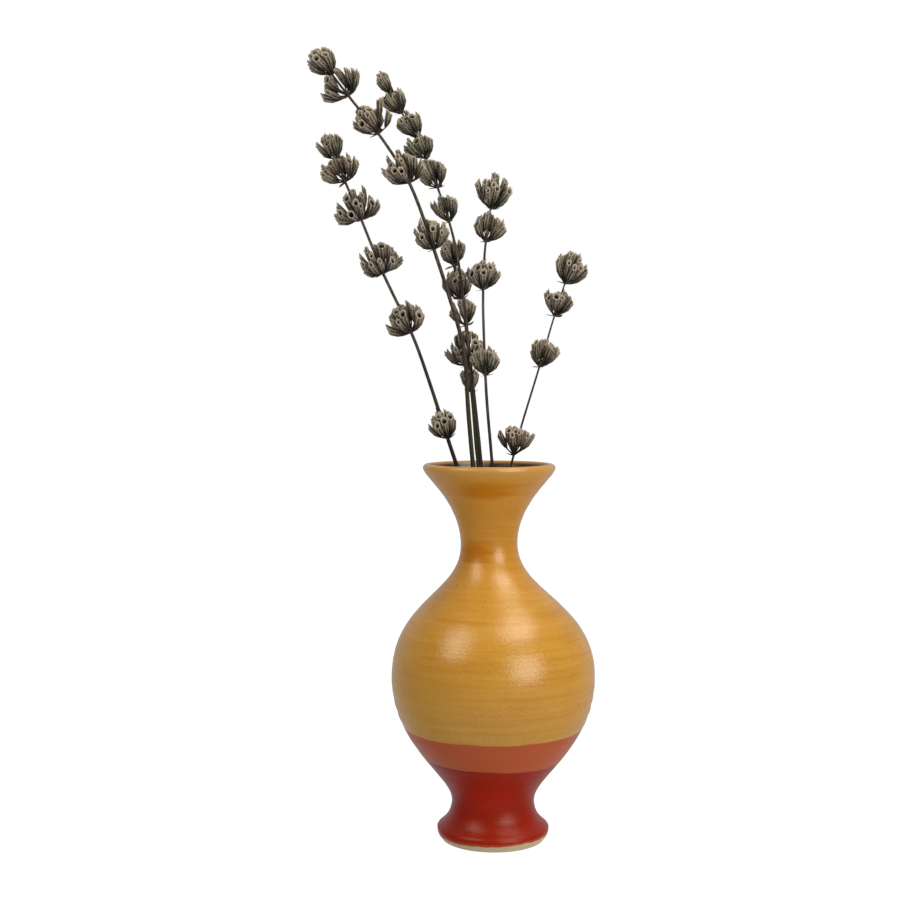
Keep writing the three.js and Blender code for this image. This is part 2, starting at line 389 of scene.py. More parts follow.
def glazedStoneware():
    # glazed stoneware, poured in two coats over a thrown body: a satin glass skin with soft highlights,
    # streaks where it ran round the rings, and bare sandy clay where the foot was wiped clean
    material, add, shader = newMaterial("satinGlazedStoneware")
    coords = add("ShaderNodeTexCoord").outputs["Object"]
    place = add("ShaderNodeVectorMath", {0: coords, "Scale": 1 / mm}, operation="SCALE")
    x, y, z = add("ShaderNodeSeparateXYZ", {0: place}).outputs
    # the edge of each dip wobbles by a few tenths of a millimetre
    wobble = add("ShaderNodeTexNoise", {"Vector": place, "Scale": 1 / glaze["wobble"], "Detail": 2.0})
    wobble = add("ShaderNodeMapRange", {"Value": wobble, "To Min": -0.5, "To Max": 0.5})
    ragged = add("ShaderNodeTexNoise", {"Vector": place, "Scale": 1 / glaze["ragged"], "Detail": 3.0})
    ragged = add("ShaderNodeMapRange", {"Value": ragged, "To Min": -0.35, "To Max": 0.35})
    level = add("ShaderNodeMath", {0: z, 1: wobble}, operation="ADD")
    slope = add("ShaderNodeMath", {0: x, 1: 0.022, 2: level}, operation="MULTIPLY_ADD")
    footLevel = add("ShaderNodeMath", {0: x, 1: -0.03, 2: level}, operation="MULTIPLY_ADD")
    footLevel = add("ShaderNodeMath", {0: footLevel, 1: ragged}, operation="ADD")
    edges = []
    for height, name, soft in ((level, "yellowFrom", 0.2), (slope, "redTo", 0.3),
                               (footLevel, "clayTo", 0.12)):
        edges.append(add("ShaderNodeMapRange", {"Value": height, "From Min": glaze[name] - soft,
            "From Max": glaze[name] + soft}))
    isYellow, isCoral, isGlazed = edges

    band = add("ShaderNodeVectorMath", {0: place, 1: glaze["streak"]}, operation="DIVIDE")
    streak = add("ShaderNodeTexNoise", {"Vector": band, "Scale": 1.0, "Detail": 4.0, "Roughness": 0.62})
    cloud = add("ShaderNodeTexNoise", {"Vector": place, "Scale": 1 / glaze["cloud"], "Detail": 2.0})
    tone = add("ShaderNodeMix", {0: 0.4, 2: streak, 3: cloud})
    # crystals mottle the yellow
    mottle = add("ShaderNodeTexNoise", {"Vector": place, "Scale": 1 / glaze["mottle"], "Detail": 3.0,
        "Roughness": 0.7})
    tone = add("ShaderNodeMix", {0: 0.3, 2: tone, 3: mottle})
    honey = add("ShaderNodeValToRGB", {"Fac": tone})
    colourRamp(honey.color_ramp, (0.38, 0.5, 0.64), glaze["honey"])
    # paler and cooler low on the belly, deeper towards the neck
    for code, low, high, amount in zip(glaze["amber"], (66.0, 78.0), (40.0, 93.0), (0.5, 0.55)):
        share = add("ShaderNodeMapRange", {"Value": z, "From Min": low, "From Max": high,
            "To Max": amount})
        honey = add("ShaderNodeMix", {0: share, 6: honey, 7: code}, data_type="RGBA")
    coral = add("ShaderNodeMix", {0: streak, 6: glaze["coral"][0], 7: glaze["coral"][1]},
        data_type="RGBA")
    red = add("ShaderNodeMix", {0: cloud, 6: glaze["red"][0], 7: glaze["red"][1]}, data_type="RGBA")

    # where the glaze pooled thick it is deeper in colour: place and reach in mm
    coats = {"honey": honey, "red": red}
    for coat, centre, reach, code in (("honey", (-3, -17, 112.5), (10, 12, 4.0), glaze["pool"]),
                                      ("honey", (-6, -8, 93.0), (7, 9, 4.5), glaze["pool"]),
                                      ("red", (-2, -14, 17.0), (11, 12, 6.0), glaze["redPool"])):
        gap = add("ShaderNodeVectorMath", {0: place, 1: centre}, operation="SUBTRACT")
        gap = add("ShaderNodeVectorMath", {0: gap, 1: reach}, operation="DIVIDE")
        gap = add("ShaderNodeVectorMath", {0: gap}, operation="LENGTH")
        gap = add("ShaderNodeMath", {0: gap, 1: streak}, operation="ADD")
        thick = add("ShaderNodeMapRange", {"Value": gap, "From Min": 0.75, "From Max": 1.7, "To Min": 0.9,
            "To Max": 0.0}, interpolation_type="SMOOTHSTEP")
        coats[coat] = add("ShaderNodeMix", {0: thick, 6: coats[coat], 7: code}, data_type="RGBA")
    # the lip is painted paler: the glaze draws thin over it, and a painted reflection of the bright room
    # above lies on it
    lip = add("ShaderNodeMapRange", {"Value": z, "From Min": 115.5, "From Max": 120.0, "To Max": 0.55})
    # and the inside below the lip is painted dark brown, as painted shade down the well of the vase
    within = add("ShaderNodeAttribute", attribute_name="inside").outputs["Fac"]
    deep = add("ShaderNodeMapRange", {"Value": z, "From Min": 120.0, "From Max": 119.2})
    within = add("ShaderNodeMath", {0: within, 1: deep}, operation="MULTIPLY")
    yellow = coats["honey"]
    for share, name in ((lip, "lip"), (within, "inside")):
        yellow = add("ShaderNodeMix", {0: share, 6: yellow, 7: glaze[name]}, data_type="RGBA")

    clay = add("ShaderNodeTexNoise", {"Vector": place, "Scale": 1 / glaze["sand"], "Detail": 4.0})
    clay = add("ShaderNodeMix", {0: clay, 6: glaze["clay"][0], 7: glaze["clay"][1]}, data_type="RGBA")
    lower = add("ShaderNodeMix", {0: isCoral, 6: coats["red"], 7: coral}, data_type="RGBA")
    # a thin dark seam where the red dip ends, strongest on the left
    seam = add("ShaderNodeMath", {0: slope, 1: glaze["redTo"] - 0.1, 2: 0.28}, operation="COMPARE")
    leftSide = add("ShaderNodeMapRange", {"Value": x, "From Min": 8.0, "From Max": -12.0, "To Max": 0.7})
    seam = add("ShaderNodeMath", {0: seam, 1: leftSide}, operation="MULTIPLY")
    lower = add("ShaderNodeMix", {0: seam, 6: lower, 7: glaze["edgeLine"]}, data_type="RGBA")
    colour = add("ShaderNodeMix", {0: isYellow, 6: lower, 7: yellow}, data_type="RGBA")
    # the red breaks to orange just above the wiped foot
    hem = add("ShaderNodeMath", {0: footLevel, 1: glaze["clayTo"] + 0.45, 2: 0.3}, operation="COMPARE")
    hem = add("ShaderNodeMath", {0: hem, 1: 0.6}, operation="MULTIPLY")
    colour = add("ShaderNodeMix", {0: hem, 6: colour, 7: glaze["footLine"]}, data_type="RGBA")
    # iron specks 0.2 to 0.5 mm across, one to each 9 mm or so, and a finer peppering of dark dots that
    # paint the shade of pinholes in the glaze
    for cell, size, share, amount in ((9.0, 0.4, 0.5, 0.8), (1.5, 0.28, 0.55, 0.34)):
        dots = add("ShaderNodeTexVoronoi", {"Vector": place, "Scale": 1 / cell})
        chosen = add("ShaderNodeSeparateXYZ", {0: dots.outputs["Color"]})
        chosen = add("ShaderNodeMath", {0: chosen.outputs["X"], 1: share}, operation="GREATER_THAN")
        speckAndPinholeMask = add("ShaderNodeMapRange", {"Value": dots.outputs["Distance"],
            "From Min": size / cell * 0.5, "From Max": size / cell, "To Min": amount, "To Max": 0.0})
        speckAndPinholeMask = add("ShaderNodeMath", {0: speckAndPinholeMask, 1: chosen}, operation="MULTIPLY")
        speckAndPinholeMask = add("ShaderNodeMath", {0: speckAndPinholeMask, 1: isYellow}, operation="MULTIPLY")
        colour = add("ShaderNodeMix", {0: speckAndPinholeMask, 6: colour, 7: glaze["speckAndPinholeShade"]}, data_type="RGBA")
    colour = add("ShaderNodeMix", {0: isGlazed, 6: clay, 7: colour}, data_type="RGBA")

    gloss = add("ShaderNodeMapRange", {"Value": streak, "From Min": 0.3, "From Max": 0.7, "To Min": 0.2,
        "To Max": 0.25})
    # the red coat is duller than the yellow
    gloss = add("ShaderNodeMix", {0: isYellow, 2: 0.3, 3: gloss})
    shine = add("ShaderNodeMapRange", {"Value": isYellow, "To Min": 0.22, "To Max": 0.5})
    gloss = add("ShaderNodeMix", {0: isGlazed, 2: 0.85, 3: gloss})
    # turning lines under the glaze, and a fine sandy grain, coarser than the real one so that it shows
    turned = add("ShaderNodeVectorMath", {0: place, 1: glaze["turning"]}, operation="DIVIDE")
    turned = add("ShaderNodeTexNoise", {"Vector": turned, "Scale": 1.0, "Detail": 3.0})
    grain = add("ShaderNodeTexNoise", {"Vector": place, "Scale": 1 / glaze["grain"], "Detail": 2.0})
    relief = add("ShaderNodeMix", {0: 0.62, 2: turned, 3: grain})
    bump = add("ShaderNodeBump", {"Strength": 1.0, "Distance": 0.12 * mm, "Height": relief})
    feed(shader, {"Base Color": colour, "Roughness": gloss, "Specular IOR Level": shine, "Normal": bump,
        "IOR": glaze["ior"]})
    return material


def buildVase():
    outline = outlineOf("vase_body")
    runs = [(b - a).length for a, b in zip(outline, outline[1:])]
    lip = max(range(len(outline)), key=lambda i: outline[i].z)
    piece = addPiece("thrown_vase", outline, edges=[(i, i + 1) for i in range(len(outline) - 1)])
    lipAt = sum(runs[:lip]) / sum(runs)
    runTree(thrownVaseTree(), piece, {**vase, "lipAt": lipAt, "glaze": glazedStoneware()})
    faceOut(piece)
    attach(piece, "vase")
    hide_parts("vase_body")
    return piece


def faceOut(piece):
    work = bmesh.new()
    work.from_mesh(piece.data)
    bmesh.ops.recalc_face_normals(work, faces=work.faces)
    work.to_mesh(piece.data)
    work.free()


thrownVase = buildVase()
print("vase turned:", len(thrownVase.data.polygons), "faces")


stem = {
    "step": 0.9,                  # mm between rings of points
    "sides": 16,
    "tipShare": 0.55,             # width at the tip against the width at the cut end
    "squareness": 0.1,            # four ribs, as on a mint stem
    "knots": 0.1,                 # unevenness of the width
    "twist": 1.2,                 # radians from end to end
}
bark = {
    "greenTo": 178.0,             # mm above the table
    "darkTo": 122.0,
    "paleFrom": 185.0,
    "brown": ("#1c1510", "#3e352b", "#695d4f"),
    "green": ("#181b08", "#40461b"),
    "fibre": (0.25, 0.25, 6.25),  # mm
    # how green each sprig's stem still is, from 0 to 1
    "greenShare": {1: 0.0, 2: 0.55, 3: 0.2, 4: 0.5, 5: 0.0, 6: 0.1},
}


def stemPath(node):
    # the middle of each ring of points on a CAD stem, from the cut end to the tip, and its radius
    heights = sorted({tuple(round(c, 6) for c in v.co) for v in frame["nodes"][node].data.vertices},
                     key=lambda c: c[2])
    rings = [[Vector(heights[0])]]
    for place in heights[1:]:
        if place[2] - rings[-1][-1].z > 1.5 * mm:
            rings.append([])
        rings[-1].append(Vector(place))
    path = [sum(ring, Vector()) / len(ring) for ring in rings]
    return path, max((p - path[1]).length for p in rings[1])


def dryStemTree():
    tree, add, given = newTree("dryStem", {**stem, "radius": 0.5, "bark": "NodeSocketMaterial"})
    line = add("GeometryNodeMeshToCurve", {"Mesh": given["Geometry"]})
    line = add("GeometryNodeCurveSplineType", {"Curve": line}, spline_type="CATMULL_ROM")
    step = add("ShaderNodeMath", {0: given["step"], 1: mm}, operation="MULTIPLY")
    line = add("GeometryNodeResampleCurve", {"Curve": line, "Length": step}, mode="LENGTH")
    share = add("GeometryNodeSplineParameter").outputs["Factor"]
    turn = add("ShaderNodeMath", {0: share, 1: given["twist"]}, operation="MULTIPLY")
    line = add("GeometryNodeSetCurveTilt", {"Curve": line, "Tilt": turn})
    thin = add("ShaderNodeMapRange", {"Value": share, "From Min": 0.5, "To Min": 1.0,
        "To Max": given["tipShare"]})
    knots = add("ShaderNodeTexNoise", {"Scale": 160.0, "Detail": 2.0})
    knots = add("ShaderNodeMath", {0: knots, 1: 0.5}, operation="SUBTRACT")
    knots = add("ShaderNodeMath", {0: knots, 1: given["knots"], 2: 1.0}, operation="MULTIPLY_ADD")
    half = add("ShaderNodeMath", {0: given["radius"], 1: thin}, operation="MULTIPLY")
    half = add("ShaderNodeMath", {0: half, 1: knots}, operation="MULTIPLY")
    ring = add("GeometryNodeCurvePrimitiveCircle", {"Resolution": given["sides"], "Radius": 1.0})
    index = add("GeometryNodeInputIndex")
    angle = add("ShaderNodeMath", {0: index, 1: given["sides"]}, operation="DIVIDE")
    angle = add("ShaderNodeMath", {0: angle, 1: 8 * math.pi}, operation="MULTIPLY")
    rib = add("ShaderNodeMath", {0: angle}, operation="COSINE")
    rib = add("ShaderNodeMath", {0: rib, 1: given["squareness"], 2: 1.0}, operation="MULTIPLY_ADD")
    place = add("GeometryNodeInputPosition")
    place = add("ShaderNodeVectorMath", {0: place, "Scale": rib}, operation="SCALE")
    ring = add("GeometryNodeSetPosition", {"Geometry": ring, "Position": place})
    tube = add("GeometryNodeCurveToMesh", {"Curve": line, "Profile Curve": ring, "Scale": half,
        "Fill Caps": True})
    tube = add("GeometryNodeSetShadeSmooth", {"Geometry": tube})
    endTree(add, tube, given["bark"])
    return tree


def driedStalk(greenShare):
    # air-dried lavender stalk: woody, matt and ridged, nearly black in the grooves, and olive
    # where it kept its colour
    material, add, shader = newMaterial("airDriedStalk")
    coords = add("ShaderNodeTexCoord").outputs["Object"]
    fibre = add("ShaderNodeVectorMath", {0: coords, 1: [size * mm for size in bark["fibre"]]},
        operation="DIVIDE")
    fibre = add("ShaderNodeTexNoise", {"Vector": fibre, "Scale": 1.0, "Detail": 3.0})
    patch = add("ShaderNodeTexNoise", {"Vector": coords, "Scale": 45.0, "Detail": 2.0})
    rise = add("ShaderNodeSeparateXYZ", {0: coords}).outputs["Z"]
    # paler towards the tip, nearly black lower down where the stalk enters the vase
    heightTone = add("ShaderNodeMapRange", {"Value": rise, "From Min": bark["darkTo"] * mm,
        "From Max": bark["paleFrom"] * mm, "To Min": -0.13, "To Max": 0.04})
    heightTone = add("ShaderNodeMath", {0: heightTone, 1: fibre}, operation="ADD")
    brown = add("ShaderNodeValToRGB", {"Fac": heightTone})
    colourRamp(brown.color_ramp, (0.36, 0.5, 0.66), bark["brown"])
    green = add("ShaderNodeMix", {0: fibre, 6: bark["green"][0], 7: bark["green"][1]}, data_type="RGBA")
    kept = add("ShaderNodeMapRange", {"Value": patch, "From Min": 0.62 - 0.5 * greenShare,
        "From Max": 0.82 - 0.5 * greenShare})
    # only the lower end kept its colour
    low = add("ShaderNodeMapRange", {"Value": rise, "From Min": bark["greenTo"] * mm,
        "From Max": bark["greenTo"] * mm - 0.04})
    kept = add("ShaderNodeMath", {0: kept, 1: low}, operation="MULTIPLY")
    colour = add("ShaderNodeMix", {0: kept, 6: brown, 7: green}, data_type="RGBA")
    bump = add("ShaderNodeBump", {"Strength": 0.6, "Distance": 0.08 * mm, "Height": fibre})
    feed(shader, {"Base Color": colour, "Roughness": 0.62, "Normal": bump})
    return material


stemTree = dryStemTree()
stemPaths = {}
for number in range(1, 7):
    node = f"sprig_{number}_stem"
    path, radius = stemPath(node)
    stemPaths[number] = path
    piece = addPiece(f"lavender_{number}_stalk", path, edges=[(i, i + 1) for i in range(len(path) - 1)])
    runTree(stemTree, piece, {**stem, "radius": radius, "bark": driedStalk(bark["greenShare"][number])})
    faceOut(piece)
    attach(piece, f"sprig_{number}")
    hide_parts(node)
print("stalks drawn:", len(stemPaths))


calyx = {
    "sides": 12,
    "ridge": 0.16,                # depth of the ribs against the radius
    "slant": 0.11,                # the outer lip of the mouth hangs lower, as a share of the length
    "curve": 0.7,                 # how far the mouth bends back towards the stem, in half widths
}
# ring height and radius, as shares of the length and of half the width, up the outside of each kind
calyxKinds = {
    "open": {"teeth": 0.06, "inner": 0.62,
             "rings": ((0, 0.18), (0.14, 0.42), (0.45, 0.88), (0.76, 0.96), (1.0, 1.06))},
    "wide": {"teeth": 0.05, "inner": 0.68,
             "rings": ((0, 0.18), (0.14, 0.5), (0.42, 0.98), (0.74, 1.02), (0.96, 1.16))},
    "shut": {"teeth": 0.1, "inner": 0.5,
             "rings": ((0, 0.2), (0.12, 0.5), (0.42, 0.98), (0.76, 0.9), (1.0, 0.72))},
    "slim": {"teeth": 0.06, "inner": 0.6,
             "rings": ((0, 0.2), (0.12, 0.4), (0.45, 0.74), (0.78, 0.72), (1.04, 0.7))},
}
flowerHead = {
    "calyxLength": 5.6,           # mm
    "calyxRadius": 1.15,
    "stalkShare": 0.28,           # little stalks of the outer calyces against the whorl's half width
    "spread": 1.5,                # the stalks lean this much more than the calyces they carry
    "bracts": 3,                  # under each whorl
    "bractLength": 3.4,           # mm
    "bractHalf": 1.3,             # half its width
}
bractCurls = (0.35, -0.3, 0.7)    # one for each kind of bract, inward and outward
flowerColours = {
    "dry": ("#251e17", "#675b4f", "#9f9283"),
    "olive": ("#1e2016", "#58584a", "#8c8b7a"),
    "rim": "#baaf9f",
    # painted shade down the throat of each calyx
    "inside": "#140f0b",
    "husk": ("#19130e", "#44362a"),
}
# for each sprig from its lowest whorl: turn in degrees, number of calyces, extra stalk in mm, how far
# the whorl stands upright instead of along its stalk, and the fan of each side in degrees
whorls = {
    1: [(60, 18), (20, 20), (80, 23), (70, 22, 0, 0.2), (8, 15, 0, 0, 100), (80, 13)],
    2: [(75, 17), (35, 19, 0, 0.2), (60, 16), (10, 17, 0, 0, 100), (85, 15)],
    3: [(12, 11, 0, 0, 90), (20, 12, 0, 0, 100), (40, 12), (70, 11), (10, 10, 0, 0, 100), (45, 8)],
    4: [(20, 8, 0, 0, 100), (70, 22), (50, 12), (80, 14), (20, 11, 0, 0, 120)],
    5: [(4, 15, 0, 0, 80), (50, 18), (8, 13, 0, 0, 80), (30, 19)],
    6: [(85, 19, 1.2, 0.8), (10, 14, 0, 0, 100), (40, 14, 0, 0, 130), (60, 17)],
}
usualWhorl = (0, 0, 150)          # the last three values where a whorl doesn't give them
# calyces that stand apart from a whorl: sprig, whorl, turn in degrees, reach and extra stalk in mm
loners = [(2, 3, 0, 7.6, 0.4), (2, 3, 170, 1.0, 3.6), (5, 3, 10, 6.6, 0.8), (4, 2, 200, 7.4, 0.6),
          (2, 4, 0, 7.6, 0.2), (1, 4, 185, 7.8, 0.0)]
# how much fuller than its CAD solid each sprig looks from the side
fullness = {1: 1.05, 2: 1.05, 3: 1.2, 4: 1.1, 5: 1.05, 6: 1.1}
# how olive each sprig's calyces are, low and high
oliveness = {1: (0.0, 0.55), 2: (0.0, 0.6), 3: (0.35, 1.0), 4: (0.0, 0.5), 5: (0.2, 0.9), 6: (0.0, 0.45)}


def calyxShape(name, kind, seed):
    # a ribbed tube with a toothed mouth and a throat that the material paints dark as shade; a few dozen
    # faces, one unit long and two wide
    draw = random.Random(seed)
    sides = calyx["sides"]
    points, faces, along = [], [], []

    def addRing(height, radius, ridge, teeth, mark, slant=0):
        for i in range(sides):
            turn = 2 * math.pi * i / sides
            reach = radius * (1 if i % 2 == 0 else 1 - ridge)
            lift = teeth * draw.uniform(0.3, 1.3) if i % 2 == 0 else 0
            lift -= slant * math.cos(turn)
            bend = calyx["curve"] * height * height
            points.append((reach * math.cos(turn) - bend, reach * math.sin(turn), height + lift))
            along.append(mark)

    for height, radius in kind["rings"][:-1]:
        addRing(height, radius * draw.uniform(0.94, 1.06), calyx["ridge"], 0, height)
    topHeight, topRadius = kind["rings"][-1]
    addRing(topHeight, topRadius, calyx["ridge"] * 0.5, kind["teeth"], 1.0, calyx["slant"])
    addRing(topHeight - 0.03, topRadius * kind["inner"], calyx["ridge"] * 0.3, kind["teeth"] * 0.5, 1.08,
            calyx["slant"])
    addRing(0.62, topRadius * kind["inner"] * 0.75, 0, 0, 1.3)
    rows = len(points) // sides
    for row in range(rows - 1):
        for i in range(sides):
            j = (i + 1) % sides
            faces.append((row * sides + i, row * sides + j, (row + 1) * sides + j, (row + 1) * sides + i))
    faces.append(tuple(reversed(range(sides))))
    faces.append(tuple((rows - 1) * sides + i for i in range(sides)))
    shape = addPiece(name, points, faces=faces)
    chart = shape.data.uv_layers.new(name="ribs")
    for polygon in shape.data.polygons:
        corners = [(shape.data.loops[k].vertex_index, k) for k in polygon.loop_indices]
        wraps = len(corners) == 4 and {0, sides - 1} <= {v % sides for v, k in corners}
        for v, k in corners:
            across = v % sides / sides + (1 if wraps and v % sides == 0 else 0)
            chart.data[k].uv = (across, along[v])
        polygon.use_smooth = True
    return shape


def bractShape(name, curl, seed):
    # a papery pointed leaf with a keel, thin but closed
    draw = random.Random(seed)
    rows = ((0, 0.12), (0.2, 0.7), (0.45, 1.0), (0.72, 0.6), (1.0, 0.04))
    points, faces = [], []
    for face in (1, -1):
        for height, half in rows:
            bend = curl * height * height
            for side in (-1, 0, 1):
                keel = 0.18 * (1 - abs(side)) * half
                points.append((side * half, bend - keel + 0.03 * face + draw.uniform(-0.03, 0.03), height))
    count = len(rows)
    for row in range(count - 1):
        for side in (0, 1):
            a = row * 3 + side
            faces.append((a, a + 3, a + 4, a + 1))
            b = a + count * 3
            faces.append((b, b + 1, b + 4, b + 3))
    ring = ([r * 3 for r in range(count)] + [count * 3 - 2, count * 3 - 1]
            + [r * 3 + 2 for r in range(count - 2, -1, -1)] + [1])
    for a, b in zip(ring, ring[1:] + ring[:1]):
        faces.append((a, b, b + count * 3, a + count * 3))
    shape = addPiece(name, points, faces=faces)
    chart = shape.data.uv_layers.new(name="ribs")
    for polygon in shape.data.polygons:
        polygon.use_smooth = True
        for k in polygon.loop_indices:
            point = points[shape.data.loops[k].vertex_index]
            chart.data[k].uv = (point[0] * 0.5 + 0.5, -1.2 + point[2])
    return shape


def stalkShape(name):
    sides = 6
    points = [(0.5 * math.cos(2 * math.pi * i / sides), 0.5 * math.sin(2 * math.pi * i / sides), z)
              for z in (0, 1) for i in range(sides)]
    faces = [(i, (i + 1) % sides, (i + 1) % sides + sides, i + sides) for i in range(sides)]
    faces += [tuple(reversed(range(sides))), tuple(range(sides, 2 * sides))]
    shape = addPiece(name, points, faces=faces)
    for spot in shape.data.uv_layers.new(name="ribs").data:
        spot.uv = (0.5, -0.6)
    return shape


def kindsOf(label, shapes):
    # moves the patterns into a collection of their own, which the tree draws from
    group = bpy.data.collections.new(label)
    bpy.context.scene.collection.children.link(group)
    for shape in shapes:
        bpy.context.scene.collection.objects.unlink(shape)
        group.objects.link(shape)
    return group


# what each whorl's point carries besides its place and axis
whorlFields = {"reach": "FLOAT", "rise": "FLOAT", "turn": "FLOAT", "count": "INT", "extra": "FLOAT",
               "leafy": "INT", "fan": "FLOAT"}


def turnAbout(add, rotation, axis, angle):
    # turns a rotation about one of its own axes
    by = add("FunctionNodeAxisAngleToRotation", {"Axis": axis, "Angle": angle})
    return add("FunctionNodeRotateRotation", {"Rotation": rotation, "Rotate By": by},
        rotation_space="LOCAL")


def drawEach(add, start, ranges):
    # one random number between two ends for each name, every one with a seed of its own
    drawn = {}
    for label, low, high, step in ranges:
        seed = add("ShaderNodeMath", {0: start, 1: 100.0 * step}, operation="ADD")
        drawn[label] = add("FunctionNodeRandomValue", {"Min": low, "Max": high, "Seed": seed})
    return drawn


def lavenderWhorlTree():
    kinds = dict.fromkeys(("calyxKinds", "bractKinds", "stalkKinds"), "NodeSocketCollection")
    sizes = {**flowerHead, **kinds, "oliveLow": 0.0, "oliveHigh": 1.0, "seed": 1}
    tree, add, given = newTree("lavenderWhorls", {**sizes, "skin": "NodeSocketMaterial"})
    patterns, stored = {}, {}
    for label in kinds:
        patterns[label] = add("GeometryNodeCollectionInfo", {"Collection": given[label],
            "Separate Children": True, "Reset Children": True})
    for label, kind in {"axis": "FLOAT_VECTOR", **whorlFields}.items():
        stored[label] = add("GeometryNodeInputNamedAttribute", {"Name": label}, data_type=kind)
    base = add("FunctionNodeAlignRotationToVector", {"Vector": stored["axis"]}, axis="Z")

    # calyces: half of them on each side of the stem, from upright in the middle to flat at the edge
    copies = add("GeometryNodeDuplicateElements", {"Geometry": given["Geometry"],
        "Amount": stored["count"]}, domain="POINT")
    order = copies.outputs["Duplicate Index"]
    side = add("ShaderNodeMath", {0: order, 1: 2.0}, operation="MODULO")
    place = add("ShaderNodeMath", {0: order, 1: 0.5}, operation="MULTIPLY")
    place = add("ShaderNodeMath", {0: place}, operation="FLOOR")
    wild = math.radians(7)
    jitter = drawEach(add, given["seed"], (
        ("share", 0.25, 0.75, 1), ("fan", -0.06, 0.06, 2), ("tilt", -wild, wild, 3),
        ("roll", -0.5, 0.5, 4), ("long", 0.84, 1.08, 5), ("wide", 0.84, 1.12, 6),
        ("kind", 0.0, 3.999, 7), ("olive", 0.0, 1.0, 8), ("gap", 0.0, 0.7, 9)))
    share = add("ShaderNodeMath", {0: place, 1: jitter["share"]}, operation="ADD")
    half = add("ShaderNodeMath", {0: stored["count"], 1: 0.5}, operation="MULTIPLY")
    share = add("ShaderNodeMath", {0: share, 1: half}, operation="DIVIDE", use_clamp=True)
    share = add("ShaderNodeMath", {0: share, 1: 0.6}, operation="POWER")
    # counted from the outside, so that the widest calyx of each side points straight out
    goldenTurn = 0.618034
    inward = add("ShaderNodeMath", {0: half, 1: place}, operation="SUBTRACT")
    golden = add("ShaderNodeMath", {0: inward, 1: goldenTurn, 2: jitter["fan"]}, operation="MULTIPLY_ADD")
    golden = add("ShaderNodeMath", {0: golden, 1: goldenTurn}, operation="SUBTRACT")
    golden = add("ShaderNodeMath", {0: golden, 1: 0.5, 2: -0.5}, operation="WRAP")
    spread = add("ShaderNodeMath", {0: golden, 1: stored["fan"]}, operation="MULTIPLY")
    azimuth = add("ShaderNodeMath", {0: side, 1: 180.0, 2: spread}, operation="MULTIPLY_ADD")
    azimuth = add("ShaderNodeMath", {0: azimuth, 1: stored["turn"]}, operation="ADD")
    azimuth = add("ShaderNodeMath", {0: azimuth}, operation="RADIANS")
    # the outermost lean is what makes the whorl as wide as it is
    outerGap = add("ShaderNodeMath", {0: stored["reach"], 1: given["stalkShare"], 2: stored["extra"]},
        operation="MULTIPLY_ADD")
    lean = add("ShaderNodeMath", {0: stored["reach"], 1: outerGap}, operation="SUBTRACT")
    lean = add("ShaderNodeMath", {0: lean, 1: given["calyxLength"]}, operation="DIVIDE")
    lean = add("ShaderNodeMath", {0: lean, 1: 0.96}, operation="MINIMUM")
    lean = add("ShaderNodeMath", {0: lean}, operation="ARCSINE")
    lean = add("ShaderNodeMath", {0: lean, 1: share}, operation="MULTIPLY")
    tilt = add("ShaderNodeMath", {0: lean, 1: jitter["tilt"]}, operation="ADD")
    swing = add("ShaderNodeMath", {0: lean, 1: given["spread"]}, operation="MULTIPLY")
    swing = add("ShaderNodeMath", {0: swing, 1: 1.5}, operation="MINIMUM")
    innerGap = add("ShaderNodeMath", {0: stored["rise"], 1: given["calyxLength"]}, operation="SUBTRACT")
    innerGap = add("ShaderNodeMath", {0: innerGap, 1: 0.3}, operation="MAXIMUM")
    gap = add("ShaderNodeMix", {0: share, 2: innerGap, 3: outerGap})
    gap = add("ShaderNodeMath", {0: gap, 1: jitter["gap"]}, operation="ADD")
    gap = add("ShaderNodeMath", {0: gap, 1: mm}, operation="MULTIPLY")

    aside = turnAbout(add, base, (0, 0, 1), azimuth)
    stalkWay = turnAbout(add, aside, (0, 1, 0), swing)
    facing = turnAbout(add, aside, (0, 1, 0), tilt)
    rolled = turnAbout(add, facing, (0, 0, 1), jitter["roll"])
    outward = add("ShaderNodeCombineXYZ", {"Z": gap})
    outward = add("FunctionNodeRotateVector", {"Vector": outward, "Rotation": stalkWay})
    long = add("ShaderNodeMath", {0: given["calyxLength"], 1: jitter["long"]}, operation="MULTIPLY")
    wide = add("ShaderNodeMath", {0: given["calyxRadius"], 1: jitter["wide"]}, operation="MULTIPLY")
    size = add("ShaderNodeCombineXYZ", {"X": wide, "Y": wide, "Z": long})
    size = add("ShaderNodeVectorMath", {0: size, "Scale": mm}, operation="SCALE")
    moved = add("GeometryNodeSetPosition", {"Geometry": copies, "Offset": outward})
    pick = add("ShaderNodeMath", {0: jitter["kind"]}, operation="FLOOR")
    tubes = add("GeometryNodeInstanceOnPoints", {"Points": moved, "Instance": patterns["calyxKinds"],
        "Pick Instance": True, "Instance Index": pick, "Rotation": rolled, "Scale": size})
    olive = add("ShaderNodeMapRange", {"Value": jitter["olive"], "To Min": given["oliveLow"],
        "To Max": given["oliveHigh"]})
    tubes = add("GeometryNodeStoreNamedAttribute", {"Geometry": tubes, "Name": "olive", "Value": olive},
        domain="INSTANCE")

    # the little stalk under each calyx
    reachOut = add("ShaderNodeMath", {0: gap, 1: 0.4 * mm}, operation="ADD")
    stalkSize = add("ShaderNodeCombineXYZ", {"X": 0.42 * mm, "Y": 0.42 * mm, "Z": reachOut})
    stalks = add("GeometryNodeInstanceOnPoints", {"Points": copies, "Instance": patterns["stalkKinds"],
        "Rotation": stalkWay, "Scale": stalkSize})

